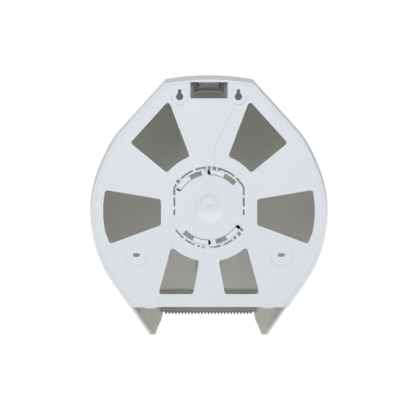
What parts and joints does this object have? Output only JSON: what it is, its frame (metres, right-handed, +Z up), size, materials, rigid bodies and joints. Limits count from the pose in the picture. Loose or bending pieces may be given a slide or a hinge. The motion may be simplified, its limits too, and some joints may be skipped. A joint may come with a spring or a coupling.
{
  "type": "jumbo toilet roll dispenser",
  "caption": "Wall dispenser for a jumbo toilet roll: windowed back plate, hinged cover with a serrated outlet, spinning core holder and a sprung top latch.",
  "frame": {"origin": "midpoint of the two keyhole entries, on the wall plane", "axes": "+Z up, +Y into the wall, the front of the dispenser faces -Y"},
  "size_m": [0.3238, 0.125, 0.3626],
  "materials": {
    "shell_abs": "moulded white ABS, satin gloss",
    "plate_abs": "moulded white ABS, fine satin",
    "inner_abs": "moulded off-white ABS, matte",
    "acetal": "ivory acetal",
    "rubber": "black rubber",
    "clear_pane": "smoky clear plastic",
    "steel": "zinc-plated steel"
  },
  "bodies": {
    "wall_unit": {"back_plate": "plate_abs", "hub_base": "inner_abs", "thrust_washer": "acetal", "brake_ring": "rubber", "axle_cap": "inner_abs", "cap_washer": "steel", "cap_screw": "steel", "latch_bow_spring": "acetal", "latch_guide": "plate_abs", "hinge_pin_left": "steel", "hinge_pin_right": "steel", "pin_clips": "steel"},
    "cover": {"front_cover": "shell_abs", "lock_bezel": "shell_abs", "tear_strip": "inner_abs", "strip_screws": "steel", "sight_window": "clear_pane", "window_retainer": "inner_abs"},
    "roll_holder": {"mandrel": "inner_abs"},
    "latch": {"latch_slider": "acetal"}
  },
  "joints": [
    {"name": "cover_hinge", "type": "hinge", "parent": "wall_unit", "child": "cover", "pos_m": [0, -0.0115, -0.282], "axis": [1, 0, 0], "range_deg": [0, 55]},
    {"name": "mandrel_spin", "type": "hinge", "parent": "wall_unit", "child": "roll_holder", "pos_m": [0, -0.066, -0.1505], "axis": [0, -1, 0], "continuous": true},
    {"name": "latch_slide", "type": "slide", "parent": "wall_unit", "child": "latch", "axis": [0, 0, 1], "range_m": [0, 0.0035], "stiffness_N_per_m": 250, "springref_m": 0.0035, "deforming": ["latch_bow_spring"]}
  ]
}
